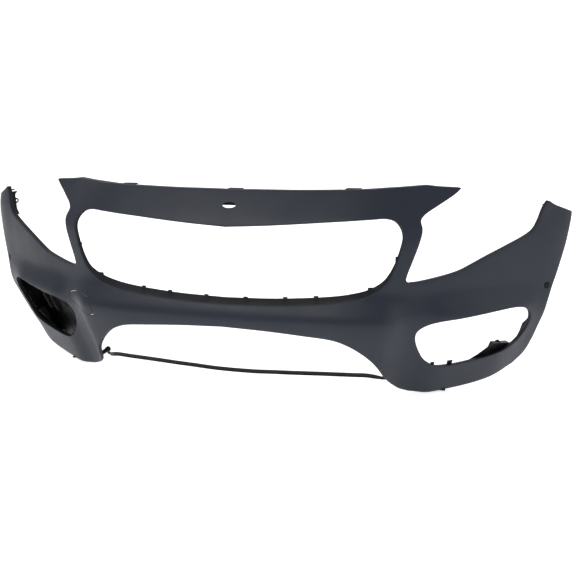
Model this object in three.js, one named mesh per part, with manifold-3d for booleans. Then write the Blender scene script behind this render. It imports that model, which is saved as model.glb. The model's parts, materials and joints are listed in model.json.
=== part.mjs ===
// Front bumper cover of a compact crossover, with the pieces that are fastened to it.
// Millimetres, +X to the car's left, +Y rearward, +Z up.
// The skin is described on a flat pattern: s runs round the car's front from the centre
// line, z is the height, and depth is measured inward from the outer surface.
import * as THREE from "three";
import { mergeVertices } from "three/addons/utils/BufferGeometryUtils.js";
import Module from "manifold-3d";

// Driving dimensions
const SKIN = 3;                 // wall of the moulding
const GAP = 0.4;                // clearance between neighbouring pieces
const NOSE_Y = 17;              // outer surface at the centre line, grille height
const PLAN_TURNS = [            // heading change in degrees between two arc lengths
  [4.2, 0, 260],
  [20.9, 260, 520],
  [8, 520, 810],
  [34, 840, 1060],
];
const LEAD_Z = 285;             // height of the foremost line of the nose
const LEAD_RISE = 95;           // height over which the nose swells above the grille sill
const HEADER_Z = 526;           // the header starts to lean back here
const HEADER_LEAN = 0.955;      // inward travel per mm of height
const STEP = 60;                // longest straight stretch along a curved edge
const SLAB = {                  // stations of the bent slab the skin is cut from
  s: [0, 130, 260, 330, 390, 411, 432, 453, 474, 495, 516, 550, 590, 665, 740, 790, 838, 876,
    914, 950, 985],
  z: [45, 150, 262, 285, 310, 338, 380, 450, 508, 532, 560, 634],
};
const PLATE = { lift: 1.2, thick: 3 };   // bracket plates stand this much clear of the bosses
const FLANGE = { wall: 2.6, near: 1, inset: 0.15 };   // return flange's wall and its start
const SEAT = { width: 40, depth: 24, thick: 3, start: 11 };  // mounting lug
const HEADER_LUG = { s: 0, top: 618.2 };                     // its top face carries the origin
const SIDE_LUG = { s: 330, top: 622.6 };
const UNDERTRAY_LUG = { s: 600, top: 65.4, start: 7 };
const SCREW = { head: 5.5, headHeight: 2.5, shank: 2.2, length: 12 };
const RIVET = { head: 8, headHeight: 2, body: 3.5, bore: 2.2, pin: 1.8, pinHead: 5, reach: 12 };
const BOSS = { radius: 6.5, start: 1.6, holeStart: 5, hole: 4.2, holeLength: 14 };
const PAD = { radius: 8, rise: 1, clearance: 9 };           // spot face round a fastener
const CROSSBAR = { depth: 36, lift: 2, thick: 8, height: 15 };
const FOG_WALL = 36;            // depth that the fog brackets' walls run back to
const GUIDE_DEPTH = 52;         // depth of the air guide's back wall
const SENSOR = { s: 888, z: 357, hole: 9, face: 8.2, ring: 15, body: 12 };
const EMBLEM = { z: 581.3, across: 18.5, high: 6.8, restDepth: 6 };   // oval hole, rest behind

const COLOURS = { skin: 0x4a505c, trim: 0x16171a, metal: 0x8c9094 };
const SIDES = [["left", 1], ["right", -1]];    // the car's left is +X

const wasm = await Module();
wasm.setup();

// ---------------------------------------------------------------- small maths
const v2 = (s, z) => new THREE.Vector2(s, z);
const toOutline = (points) => points.map(([s, z]) => v2(s, z));

function smoothStep(value) {
  const t = Math.min(1, Math.max(0, value));
  return t * t * t * (t * (6 * t - 15) + 10);
}

function softRamp(value, width) {
  const t = 2 * value / width;
  return t > 40 ? value : width * Math.log1p(Math.exp(t)) / 2;
}

const PLAN_STEP = 2;
const PLAN = planTable();

function planTable() {
  const rows = [{ x: 0, y: NOSE_Y, turn: 0 }];
  for (let s = PLAN_STEP; s <= 1300; s += PLAN_STEP) {
    let turn = 0;
    for (const [angle, from, to] of PLAN_TURNS) {
      turn += THREE.MathUtils.degToRad(angle) * smoothStep((s - from) / (to - from));
    }
    const last = rows[rows.length - 1];
    const middle = (turn + last.turn) / 2;
    rows.push({
      x: last.x + PLAN_STEP * Math.cos(middle),
      y: last.y + PLAN_STEP * Math.sin(middle),
      turn,
    });
  }
  return rows;
}

function planAt(s) {
  const side = s < 0 ? -1 : 1;
  const place = Math.abs(s) / PLAN_STEP;
  const index = Math.min(Math.floor(place), PLAN.length - 2);
  const t = place - index;
  const mix = (key) => PLAN[index][key] * (1 - t) + PLAN[index + 1][key] * t;
  return { x: side * mix("x"), y: mix("y"), turn: side * mix("turn") };
}

// How far the outer surface lies inside the plan curve at (s, z)
function surfaceInset(s, z) {
  const a = Math.abs(s);
  const leanShare = 1 - 0.75 * smoothStep((a - 540) / 290);
  const header = HEADER_LEAN * softRamp(z - HEADER_Z, 26) * leanShare;
  const swell = 42 - 30 * smoothStep((a - 390) / 110) + 15 * smoothStep((a - 500) / 90)
    - 24 * smoothStep((a - 740) / 160);
  const above = 1 - smoothStep((z - LEAD_Z) / LEAD_RISE);
  const undercut = 0.36 + 0.06 * smoothStep((a - 520) / 200);
  return header + undercut * softRamp(LEAD_Z - z, 22) - swell * above;
}

function onSkin(s, z, depth = 0) {
  const plan = planAt(s);
  const inward = surfaceInset(s, z) + depth;
  return new THREE.Vector3(
    plan.x - Math.sin(plan.turn) * inward,
    plan.y + Math.cos(plan.turn) * inward,
    z,
  );
}

// ---------------------------------------------------------------- solids
function toSolid(geometry) {
  const bare = geometry.index ? geometry : geometry.clone();
  bare.deleteAttribute("normal");
  bare.deleteAttribute("uv");
  const merged = mergeVertices(bare, 1e-4);
  return new wasm.Manifold(new wasm.Mesh({
    numProp: 3,
    vertProperties: new Float32Array(merged.attributes.position.array),
    triVerts: new Uint32Array(merged.index.array),
  }));
}

function toGeometry(solid) {
  const mesh = solid.getMesh();
  const geometry = new THREE.BufferGeometry();
  geometry.setAttribute("position", new THREE.BufferAttribute(mesh.vertProperties, 3));
  geometry.setIndex(new THREE.BufferAttribute(mesh.triVerts, 1));
  return geometry;
}

function mapVertices(geometry, map) {
  const position = geometry.attributes.position;
  for (let i = 0; i < position.count; i += 1) {
    const point = map(position.getX(i), position.getY(i), position.getZ(i));
    position.setXYZ(i, point.x, point.y, point.z);
  }
  return geometry;
}

// A block of the flat pattern, bent to the skin's shape
function bentBlock(s0, s1, z0, z1, depth0, depth1, columns = 2, rows = 2) {
  const block = new THREE.BoxGeometry(s1 - s0, depth1 - depth0, z1 - z0, columns, 1, rows);
  block.translate((s0 + s1) / 2, (depth0 + depth1) / 2, (z0 + z1) / 2);
  return toSolid(mapVertices(block, (s, depth, z) => onSkin(s, z, depth)));
}

function bentSlab() {
  const stations = [...SLAB.s.slice(1).reverse().map((s) => -s), ...SLAB.s];
  const columns = stations.length - 1;
  const rows = SLAB.z.length - 1;
  const block = new THREE.BoxGeometry(columns, SKIN, rows, columns, 1, rows);
  return toSolid(mapVertices(block, (column, depth, row) => {
    const s = stations[Math.round(column + columns / 2)];
    const z = SLAB.z[Math.round(row + rows / 2)];
    return onSkin(s, z, depth + SKIN / 2);
  }));
}

// An outline of the flat pattern given depth, bent to the skin's shape
function bentPrism(outline, depth0, depth1) {
  const shape = new THREE.Shape(outline);
  const prism = new THREE.ExtrudeGeometry(shape, {
    depth: depth1 - depth0, bevelEnabled: false, steps: 1,
  });
  return toSolid(mapVertices(prism, (s, z, rise) => onSkin(s, z, depth1 - rise)));
}

// Axes of the skin at a place: x round the car, y up the slope, z square inward.
// squareShare turns a depth into a distance along that square direction.
function skinAxes(s, z) {
  const round = onSkin(s + 1, z).sub(onSkin(s - 1, z)).normalize();
  const up = onSkin(s, z + 1).sub(onSkin(s, z - 1)).normalize();
  const inward = up.clone().cross(round).normalize();
  const upSlope = round.clone().cross(inward);
  const squareShare = onSkin(s, z, 1).sub(onSkin(s, z)).dot(inward);
  const matrix = new THREE.Matrix4().makeBasis(round, upSlope.negate(), inward);
  matrix.setPosition(onSkin(s, z));
  return { matrix, squareShare };
}

// A straight prism standing square on the skin at (s, z), between two distances inward
function standing(outline, { s, z }, from, to) {
  const prism = new THREE.ExtrudeGeometry(new THREE.Shape(outline), {
    depth: to - from, bevelEnabled: false, steps: 1,
  });
  prism.translate(0, 0, from);
  return toSolid(prism.applyMatrix4(skinAxes(s, z).matrix));
}

function peg(place, radius, from, to, sides = 10) {
  return standing(circleOutline(0, 0, radius, sides), place, from, to);
}

function bar(place, width, height, from, to) {
  const [w, h] = [width / 2, height / 2];
  const outline = toOutline([[-w, -h], [w, -h], [w, h], [-w, h]]);
  return standing(outline, place, from, to);
}

function mirrored(outline) {
  return outline.map((p) => new THREE.Vector2(-p.x, p.y)).reverse();
}

// A smooth curve through hand-set points, with a point at least every STEP mm
function smoothCurve(points, closed) {
  const curve = new THREE.CatmullRomCurve3(
    points.map(([s, z]) => new THREE.Vector3(s, z, 0)), closed, "centripetal",
  );
  const spans = closed ? points.length : points.length - 1;
  const line = [];
  for (let i = 0; i < spans; i += 1) {
    const [s0, z0] = points[i];
    const [s1, z1] = points[(i + 1) % points.length];
    const pieces = Math.ceil(Math.hypot(s1 - s0, z1 - z0) / STEP);
    for (let k = 0; k < pieces; k += 1) {
      const point = curve.getPoint((i + k / pieces) / spans);
      line.push(new THREE.Vector2(point.x, point.y));
    }
  }
  if (!closed) line.push(new THREE.Vector2(...points[points.length - 1]));
  return line;
}

function joinLines(...lines) {
  const joined = [];
  for (const line of lines) {
    for (const point of line) {
      const last = joined[joined.length - 1];
      if (!last || last.distanceTo(point) > 0.5) joined.push(point);
    }
  }
  if (joined[0].distanceTo(joined[joined.length - 1]) < 0.5) joined.pop();
  return joined;
}

// Unit normals of a closed outline, pointing away from the area it encloses
function outwardNormals(outline) {
  const sign = THREE.ShapeUtils.area(outline) > 0 ? -1 : 1;
  return outline.map((point, i) => {
    const before = outline[(i + outline.length - 1) % outline.length];
    const after = outline[(i + 1) % outline.length];
    const into = point.clone().sub(before).normalize();
    const out = after.clone().sub(point).normalize();
    const left = new THREE.Vector2(-into.y - out.y, into.x + out.x).normalize();
    const spread = Math.max(0.6, left.dot(new THREE.Vector2(-into.y, into.x)));
    return left.multiplyScalar(sign / spread);
  });
}

// A return flange: a closed wall that follows an outline inward from the skin.
// side is 1 when the wall lies outside the outline (round an opening) and -1 when it lies
// inside (along the skin's own edge); rise(point) is how far its inner end leans the other way.
function returnFlange(outline, { side, far, rise }) {
  const normals = outwardNormals(outline);
  const positions = [];
  outline.forEach((point, i) => {
    const lean = rise(point);
    for (const [depth, offset] of [
      [FLANGE.near, 0], [far(point), -lean], [far(point), FLANGE.wall - lean],
      [FLANGE.near, FLANGE.wall],
    ]) {
      const shift = side * (offset + FLANGE.inset);
      const p = point.clone().addScaledVector(normals[i], shift);
      positions.push(...onSkin(p.x, p.y, depth).toArray());
    }
  });
  const index = [];
  const count = outline.length;
  for (let i = 0; i < count; i += 1) {
    const next = (i + 1) % count;
    for (let k = 0; k < 4; k += 1) {
      const j = (k + 1) % 4;
      const [a, b, c, d] = [i * 4 + k, next * 4 + k, next * 4 + j, i * 4 + j];
      index.push(a, b, c, a, c, d);
    }
  }
  const geometry = new THREE.BufferGeometry();
  geometry.setAttribute("position", new THREE.Float32BufferAttribute(positions, 3));
  geometry.setIndex(index);
  const solid = toSolid(geometry);
  return solid.volume() > 0 ? solid : toSolid(flipped(geometry));
}

function flipped(geometry) {
  const index = Array.from(geometry.index.array);
  for (let i = 0; i < index.length; i += 3) [index[i], index[i + 1]] = [index[i + 1], index[i]];
  geometry.setIndex(index);
  return geometry;
}

// ---------------------------------------------------------------- the skin's outlines
const EDGE = {
  headerTop: [[0, 618], [190, 619], [340, 622], [480, 626], [562, 629]],
  earTop: [[562, 629], [600, 624.5], [652, 621]],
  earUnder: [[652, 621], [630, 606], [602, 592], [566, 577], [532, 561], [519, 549], [519, 530],
    [510, 500], [494, 456], [478, 413], [476, 401], [484, 394]],
  headlampSill: [[484, 394], [513, 396], [566, 405], [620, 418], [664, 437], [700, 453],
    [760, 477], [812, 499], [834, 513], [851, 538], [866, 565], [884, 585]],
  fenderSeam: [[884, 585], [906, 573], [934, 563], [975, 550]],
  wheelArch: [[975, 550], [960, 512], [949, 470], [935, 427], [921, 385], [905, 341],
    [893, 300], [887, 250], [884, 190], [874, 148], [846, 116]],
  underside: [[846, 116], [788, 92], [740, 78], [680, 68], [611, 64], [560, 62], [518, 66]],
  leg: [[518, 66], [488, 78], [452, 106], [430, 130], [406, 165], [386, 189], [362, 211],
    [336, 230], [306, 245], [280, 252], [218, 259], [120, 268], [0, 273]],
};

function halfOutline() {
  return joinLines(
    ...Object.values(EDGE).map((points) => smoothCurve(points, false)),
  );
}

function outerOutline() {
  const half = halfOutline();
  return joinLines(half, mirrored(half));
}

const GRILLE_HALF = [[0, 531], [110, 537], [200, 543], [300, 550], [383, 555], [430, 556],
  [452, 549], [464, 532], [467, 511], [462, 488], [447, 442], [430, 405], [411, 383],
  [380, 364], [335, 352], [280, 344], [150, 335], [0, 331]];
const FOG = [[508, 256], [516, 268], [538, 282], [566, 291], [616, 296], [672, 302],
  [729, 308], [777, 311], [810, 306], [833, 293], [844, 272], [844, 246], [830, 211],
  [800, 185], [735, 164], [664, 152], [614, 149], [572, 153], [541, 174], [520, 208], [509, 236]];
const TOW = [[-506, 295], [-501, 312], [-478, 320], [-412, 322], [-391, 316], [-383, 296],
  [-378, 277], [-389, 270], [-425, 275], [-470, 282]];

function grilleOutline() {
  const half = smoothCurve(GRILLE_HALF, false);
  return joinLines(half, mirrored(half));
}

function circleOutline(s, z, radius, sides) {
  const circle = new THREE.EllipseCurve(s, z, radius, radius);
  return circle.getPoints(sides).slice(0, -1);
}

function emblemOutline() {
  const oval = new THREE.EllipseCurve(0, EMBLEM.z, EMBLEM.across, EMBLEM.high);
  return oval.getPoints(20).slice(0, -1);
}

function shrunk(outline, amount) {
  const normals = outwardNormals(outline);
  return outline.map((p, i) => p.clone().addScaledVector(normals[i], -amount));
}

// ---------------------------------------------------------------- the skin
function cutters() {
  const far = 1010;
  const high = 660;
  const low = 20;
  const half = halfOutline();
  const from = (start, end) => {
    const at = (s, z) => half.findIndex((p) => p.distanceTo(v2(s, z)) < 0.5);
    return half.slice(at(...start), at(...end) + 1);
  };
  const right = [
    [...from([562, 629], [975, 550]), v2(far, 550), v2(far, high), v2(562, high)],
    [v2(far, 550), ...from([975, 550], [846, 116]), v2(far, 116)],
    [v2(far, 116), ...from([846, 116], [518, 66]), v2(518, low), v2(far, low)],
    [v2(518, low), ...from([518, 66], [0, 273]), v2(-6, 273), v2(-6, low)],
    [v2(-6, 618), ...from([0, 618], [562, 629]), v2(562, high), v2(-6, high)],
  ];
  const grille = smoothCurve(GRILLE_HALF, false);
  right.push([...grille, v2(-6, 331), v2(-6, 531)]);
  right.push(smoothCurve(FOG, true));
  right.push(circleOutline(SENSOR.s, SENSOR.z, SENSOR.hole, 12));
  const both = right.flatMap((outline) => [outline, mirrored(outline)]);
  both.push(smoothCurve(TOW, true));
  both.push(emblemOutline());
  const prisms = both.map((outline) => bentPrism(outline, -70, 70));
  const legGaps = [-534, 500].map((s) => bentBlock(s, s + 34, low, 63.5, -70, 70));
  return [...prisms, ...legGaps];
}

// The grille sill leans up as it runs inward; its pillars lean less and its top not at all
function grilleRise(point) {
  return 10 * (1 - smoothStep((point.y - 340) / 130)) + 2;
}

// Deep along the sill, shallow round the pillars and the top
function grilleFlangeDepth(point) {
  return 21 - 12 * smoothStep((point.y - 345) / 60);
}

function outerFlangeDepth(point) {
  const a = Math.abs(point.x);
  if (point.y > 600) return 15;
  if (a < 470) return point.y < 170 ? 13 : 17;
  return point.y < 130 ? 9 : 13;
}

function grilleTabs() {
  const tabs = [];
  const places = [[55, 331.5, 12], [162, 335.5, 12], [243, 341, 12], [385, 366, 14]];
  for (const [s, z, width] of places) {
    for (const side of [-1, 1]) {
      const middle = side * s;
      tabs.push(bentBlock(middle - width / 2, middle + width / 2, z + 6, z + 16, 15.4, 17.9, 1, 1));
    }
  }
  return tabs;
}

function pillarTabs() {
  const tabs = [];
  for (const side of [-1, 1]) {
    const [a, b] = [side * 447, side * 462].sort((p, q) => p - q);
    tabs.push(bentBlock(a, b, 450, 464, 5.6, 8.1, 1, 1));
  }
  return tabs;
}

function fogTabs() {
  const tabs = [];
  for (const side of [-1, 1]) {
    for (const [s, width] of [[570, 10], [622, 16]]) {
      const [a, b] = [side * s - width / 2, side * s + width / 2];
      tabs.push(bentBlock(a, b, 146, 161, 11, 13.4, 1, 1));
    }
  }
  return tabs;
}

// The rest behind the emblem hole's upper part, carried by a cheek at each side
function emblemRest() {
  const [low, high] = [EMBLEM.z - 1, EMBLEM.z + 15];
  const [near, far] = [EMBLEM.restDepth, EMBLEM.restDepth + 2.5];
  const cheeks = [-23, 20.5].map((s) => bentBlock(s, s + 2.5, low, high, 1.5, far, 1, 1));
  return [bentBlock(-23, 23, low, high, near, far, 2, 1), ...cheeks];
}

// A flat horizontal lug that runs back from the skin's top or bottom flange
function lug(s, top, start) {
  const edge = onSkin(s, top);
  const block = new THREE.BoxGeometry(SEAT.width, SEAT.depth, SEAT.thick);
  block.translate(edge.x, edge.y + start + SEAT.depth / 2, top - SEAT.thick / 2);
  return toSolid(block);
}

// Screw and rivet places on the right-hand half of the flat pattern: foot is the depth at
// which the fastened piece starts, thick is that piece's thickness there
const FASTENERS = {
  fender_screw_upper: { s: 905, z: 545, foot: 10, thick: 3 },
  fender_screw_lower: { s: 858, z: 500, foot: 10, thick: 3 },
  fog_outer_screw: { s: 862, z: 228, foot: 15, thick: 3 },
  fog_lower_screw_outer: { s: 800, z: 156, foot: 15, thick: 3 },
  fog_lower_screw_inner: { s: 712, z: 144, foot: 15, thick: 3 },
  crossbar_rivet: { s: 486, z: 98, foot: CROSSBAR.depth, thick: CROSSBAR.thick },
};

const onSide = (place, side) => ({ ...place, s: side * place.s });

function bossPlaces() {
  const half = Object.values(FASTENERS);
  return [...half, ...half.map((place) => onSide(place, -1))];
}

// Distances square to the skin of a fastened piece's under face and of its spot face
function seatOf(place) {
  const { squareShare } = skinAxes(place.s, place.z);
  const under = place.foot * squareShare;
  return { under, top: under + place.thick * squareShare + PAD.rise };
}

function skinSolid() {
  let skin = bentSlab();
  for (const cutter of cutters()) skin = skin.subtract(cutter);
  const extras = [
    returnFlange(outerOutline(), { side: -1, far: outerFlangeDepth, rise: () => 0 }),
    returnFlange(grilleOutline(), { side: 1, far: grilleFlangeDepth, rise: grilleRise }),
    ...grilleTabs(), ...pillarTabs(), ...fogTabs(), ...emblemRest(),
    lug(HEADER_LUG.s, HEADER_LUG.top, SEAT.start),
    ...[-1, 1].map((side) => lug(side * SIDE_LUG.s, SIDE_LUG.top, SEAT.start)),
    ...[-1, 1].map((side) => lug(side * UNDERTRAY_LUG.s, UNDERTRAY_LUG.top, UNDERTRAY_LUG.start)),
  ];
  const fog = smoothCurve(FOG, true);
  for (const loop of [fog, mirrored(fog)]) {
    extras.push(returnFlange(loop, { side: 1, far: () => 14, rise: () => 0 }));
  }
  for (const extra of extras) skin = skin.add(extra);
  for (const place of bossPlaces()) {
    const { under } = seatOf(place);
    skin = skin.add(peg(place, BOSS.radius, BOSS.start, under - GAP, 8));
    const holeEnd = Math.max(BOSS.holeStart, under - BOSS.holeLength);
    skin = skin.subtract(peg(place, BOSS.hole, holeEnd, under + 1, 8));
  }
  return skin;
}

// ---------------------------------------------------------------- pieces on the skin
const sided = (outline, side) => (side > 0 ? outline : mirrored(outline));
const joined = (solids) => solids.reduce((whole, solid) => whole.add(solid));

// A 3 mm plate of the given outline that lies over the bosses
function plate(outline, side, foot) {
  return bentPrism(sided(outline, side), foot + PLATE.lift, foot + PLATE.lift + PLATE.thick);
}

// Give a piece a spot-faced hole at each fastener
function drilled(solid, places) {
  return places.reduce((rest, place) => {
    const { under, top } = seatOf(place);
    return rest.add(peg(place, PAD.radius, under, top, 8))
      .subtract(peg(place, PAD.clearance, top, top + 14, 8))
      .subtract(peg(place, BOSS.hole, under - 2, top + 1, 8));
  }, solid);
}

// Flush cover with a snap tongue at its inboard end and a stiffening rib behind
function towEyeCover() {
  const panel = bentPrism(shrunk(smoothCurve(TOW, true), 0.8), 0.1, 2.5);
  const tongue = bentBlock(-396, -393, 286, 304, 2.2, 9, 1, 1);
  const stiffener = bentBlock(-480, -400, 294, 296.5, 2.2, 5.5, 3, 1);
  return joined([panel, tongue, stiffener]);
}

// Strut between the two legs; it kinks down to a foot behind each leg
function crossbar() {
  const topLine = [[0, 122], [60, 123], [115, 126], [175, 128], [232, 130], [290, 131.5],
    [340, 132], [384, 131], [412, 125], [440, 113], [466, 106], [492, 104]];
  const top = toOutline(topLine);
  const height = (s) => CROSSBAR.height - 3 * smoothStep((s - 400) / 40);
  const bottom = toOutline(topLine.map(([s, z]) => [s, z - height(s)])).reverse();
  const half = [...top, ...bottom];
  const near = CROSSBAR.depth + CROSSBAR.lift;
  const far = CROSSBAR.depth + CROSSBAR.thick;
  const bars = [half, mirrored(half)].map((outline) => bentPrism(outline, near, far));
  return drilled(joined(bars), SIDES.map(([, side]) => onSide(FASTENERS.crossbar_rivet, side)));
}

// A rib that stands inward from the skin, cut to an outline of depth against height
function rib(outline, s, thick) {
  const prism = new THREE.ExtrudeGeometry(new THREE.Shape(outline), {
    depth: thick, bevelEnabled: false, steps: 1,
  });
  return toSolid(mapVertices(prism, (depth, z, along) => onSkin(s - thick / 2 + along, z, depth)));
}

// Bracket in the fender corner: a base against the bosses, a shelf under the fender seam,
// a rail down the headlamp side, ribs between them and an eye for the fender's locating pin
function fenderBracket(side) {
  const base = toOutline([[828, 489], [868, 494], [878, 520], [892, 540], [918, 534],
    [950, 524], [958, 538], [920, 554], [890, 568], [872, 558], [856, 526], [836, 503]]);
  const shelf = toOutline([[908, 563.5], [934, 554], [960, 545], [960, 541.5],
    [934, 550.5], [908, 560]]);
  const rail = toOutline([[862, 497], [880, 512], [893, 532], [908, 563], [912, 561],
    [897, 531], [883, 509], [865, 494]]);
  const solids = [
    plate(base, side, 10), bentPrism(sided(shelf, side), 11.6, 42),
    bentPrism(sided(rail, side), 11.6, 36),
    bentBlock(...[side * 880, side * 892].sort((p, q) => p - q), 562, 573, 11.6, 16, 1, 1),
    bentBlock(...[side * 880, side * 892].sort((p, q) => p - q), 570, 573, 15, 25, 1, 1),
  ];
  for (const [s, z] of [[924, 553], [948, 544]]) {
    solids.push(bentBlock(side * s - 1.2, side * s + 1.2, z - 18, z, 12, 38, 1, 1));
  }
  const arm = toOutline([[13, 522], [41, 522], [41, 541], [13, 547]]);
  const ring = circleOutline(43, 532, 9, 12);
  const hole = circleOutline(45, 532, 3.4, 10);
  solids.push(rib(arm, side * 918, 4).add(rib(ring, side * 918, 4)));
  const whole = joined(solids).subtract(rib(hole, side * 918, 12));
  const places = [FASTENERS.fender_screw_upper, FASTENERS.fender_screw_lower];
  return drilled(whole, places.map((place) => onSide(place, side)));
}

// Bracket behind the outer end of the fog lamp opening: a plate with two windows and an
// upright wall along its inner edge
function fogOuterBracket(side) {
  const outer = toOutline([[842, 188], [848, 204], [848, 242], [862, 260], [874, 256],
    [877, 240], [876, 214], [862, 194], [852, 182]]);
  let ladder = plate(outer, side, 15);
  for (const [s, z] of [[858, 205], [866, 246]]) {
    ladder = ladder.subtract(bentBlock(side * s - 3, side * s + 3, z - 3, z + 3, 12, 22, 1, 1));
  }
  const rim = toOutline([[849, 196], [852, 216], [851, 240], [866, 256], [864, 258],
    [848, 242], [849, 216], [846, 197.5]]);
  const wall = bentPrism(sided(rim, side), 16.8, 28);
  return drilled(joined([ladder, wall]), [onSide(FASTENERS.fog_outer_screw, side)]);
}

// Bracket under the fog lamp opening: a footplate that rises into the opening, a three-sided
// box that runs back from it, a locating block and a round socket for the lamp's peg
function fogLowerBracket(side) {
  const foot = toOutline([[684, 138], [698, 132], [726, 134], [790, 146], [812, 148], [812, 166],
    [814, 176], [812, 188], [753, 198], [745, 194], [732, 184], [712, 166], [690, 152]]);
  const walls = [
    [[750, 170], [753, 170], [756, 198], [753, 198]],
    [[753, 195], [814, 185], [814, 188], [753, 198]],
    [[750, 168], [812, 175], [812, 178], [750, 171]],
  ].map((outline) => bentPrism(sided(toOutline(outline), side), 16.8, FOG_WALL));
  const block = bentBlock(side * 746 - 4, side * 746 + 4, 176, 188, 17, 26, 1, 1);
  const middle = onSide({ s: 782, z: 179 }, side);
  const socket = peg(middle, 8, 15.5, 34, 12).subtract(peg(middle, 5.5, 21, 35, 12));
  const places = [FASTENERS.fog_lower_screw_inner, FASTENERS.fog_lower_screw_outer];
  return drilled(joined([plate(foot, side, 15), ...walls, block, socket]),
    places.map((place) => onSide(place, side)));
}

// Air guide behind the fog lamp opening, on the car's right only: a back wall, a roof that
// follows the opening's edge, a cheek and a side wall that reach forward near the skin, two
// upright baffles, and two hooks that catch the end of the opening's return flange
function fogAirGuide() {
  const back = toOutline([[560, 120], [576, 112], [640, 100], [700, 94], [770, 98], [812, 110],
    [840, 124], [862, 146], [872, 166], [881, 210], [881, 262], [868, 296], [812, 322],
    [770, 322], [640, 309], [590, 303]]);
  const roof = toOutline([[590, 297.6], [616, 300], [672, 306], [729, 312], [777, 315.2],
    [812, 310.2], [812, 313.2], [778, 318.2], [729, 315], [672, 309], [616, 303], [590, 301]]);
  const sideWall = toOutline([[770, 98], [812, 110], [840, 124], [862, 146], [872, 166],
    [881, 210], [881, 262], [878, 262], [878, 210.5], [869.2, 167], [859.5, 147.8], [838, 126.4],
    [811, 113], [770, 101]]);
  const cheek = toOutline([[881, 262], [868, 296], [812, 314], [810, 311], [865.5, 293.5],
    [878, 262]]);
  const solids = [
    bentPrism(mirrored(back), GUIDE_DEPTH, GUIDE_DEPTH + 3),
    bentPrism(mirrored(roof), 6.5, GUIDE_DEPTH + 1),
    bentPrism(mirrored(sideWall), 16.6, GUIDE_DEPTH + 1),
    bentPrism(mirrored(cheek), 7.5, GUIDE_DEPTH + 1),
  ];
  for (const [s, z0, z1] of [[655, 215, 309], [700, 215, 312]]) {
    solids.push(bentBlock(-s - 1.5, -s + 1.5, z0, z1, GUIDE_DEPTH - 16, GUIDE_DEPTH + 1, 1, 2));
  }
  for (const [s, z] of [[640, 298.6], [745, 309.4]]) {
    solids.push(bentBlock(-s - 8, -s + 8, z, z + 7, 15.6, 18, 1, 1));
  }
  return joined(solids);
}

function sensorHolder(side) {
  const place = onSide(SENSOR, side);
  const ears = bentBlock(side * SENSOR.s - 26, side * SENSOR.s + 26, 352, 362, 4.6, 7, 1, 1)
    .subtract(bentBlock(side * 912 - 10, side * 912 + 10, 340, 370, 0, 20, 1, 1));
  return peg(place, SENSOR.ring, 4.4, 15, 14).add(ears)
    .subtract(peg(place, SENSOR.hole, 2, 17, 14));
}

function sensor(side) {
  const place = onSide(SENSOR, side);
  const plug = { s: place.s, z: place.z - 14 };
  return joined([
    peg(place, SENSOR.face, 0.8, 16, 12), peg(place, SENSOR.body, 15.5, 30, 12),
    bar(plug, 14, 12, 18, 28),
  ]);
}

// Sheet-metal clip that grips the wheel-arch flange for the arch liner's screw.
// inset is measured from the arch's edge into the skin, reach along the edge.
function archClip(side, { s, z, lean }) {
  const along = v2(Math.sin(lean), Math.cos(lean));
  const inward = v2(-along.y, along.x);
  const leaf = (inset0, inset1, depth0, depth1) => {
    const corner = (inset, reach) => v2(s, z)
      .addScaledVector(inward, inset).addScaledVector(along, reach);
    const outline = [corner(inset0, 9), corner(inset1, 9), corner(inset1, -9), corner(inset0, -9)];
    return bentPrism(sided(outline, side), depth0, depth1);
  };
  return joined([leaf(3.9, 5.1, 5, 15.6), leaf(-2.4, 5.1, 14.4, 15.6), leaf(-2.4, -1.2, 4, 15.6)]);
}

const ARCH_CLIPS = [
  { s: 954.5, z: 491, lean: 0.256 },
  { s: 928, z: 406, lean: 0.322 },
  { s: 885.5, z: 220, lean: 0.05 },
];

// Cross-head screw: a flat head over a plain shank
function screw(place) {
  const top = seatOf(place).top + GAP;
  const end = Math.max(top - SCREW.length, BOSS.holeStart + 0.5);
  const head = peg(place, SCREW.head, top, top + SCREW.headHeight, 10);
  const shank = peg(place, SCREW.shank, end, top + 0.2, 8);
  const cross = [[6, 1.2], [1.2, 6]].map((size) => bar(place, ...size, top + 1.3, top + 4));
  return cross.reduce((rest, slot) => rest.subtract(slot), head).add(shank);
}

function rivetBody(place) {
  const top = seatOf(place).top + GAP;
  return peg(place, RIVET.head, top, top + RIVET.headHeight, 12)
    .add(peg(place, RIVET.body, top - RIVET.reach, top + 0.2, 8))
    .subtract(peg(place, RIVET.bore, top - RIVET.reach - 1, top + 5, 8));
}

function rivetPin(place) {
  const top = seatOf(place).top + 2 * GAP + RIVET.headHeight;
  return peg(place, RIVET.pinHead, top, top + 1.6, 12)
    .add(peg(place, RIVET.pin, top - RIVET.reach, top + 0.2, 8));
}

// ---------------------------------------------------------------- assembly
const bumper = new THREE.Group();

function material(colour, roughness, metalness = 0) {
  return new THREE.MeshStandardMaterial({ color: colour, roughness, metalness });
}

const FINISH = {
  skin: material(COLOURS.skin, 0.55),
  trim: material(COLOURS.trim, 0.6),
  metal: material(COLOURS.metal, 0.35, 1),
};

function addPiece(name, geometry, finish) {
  const mesh = new THREE.Mesh(geometry, finish);
  mesh.name = name;
  bumper.add(mesh);
}

const addSolid = (name, solid, finish) => addPiece(name, toGeometry(solid), finish);

addSolid("bumper_skin", skinSolid(), FINISH.skin);
addSolid("tow_eye_cover", towEyeCover(), FINISH.skin);
addSolid("lower_crossbar", crossbar(), FINISH.trim);

addSolid("fog_air_guide_right", fogAirGuide(), FINISH.trim);

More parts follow.
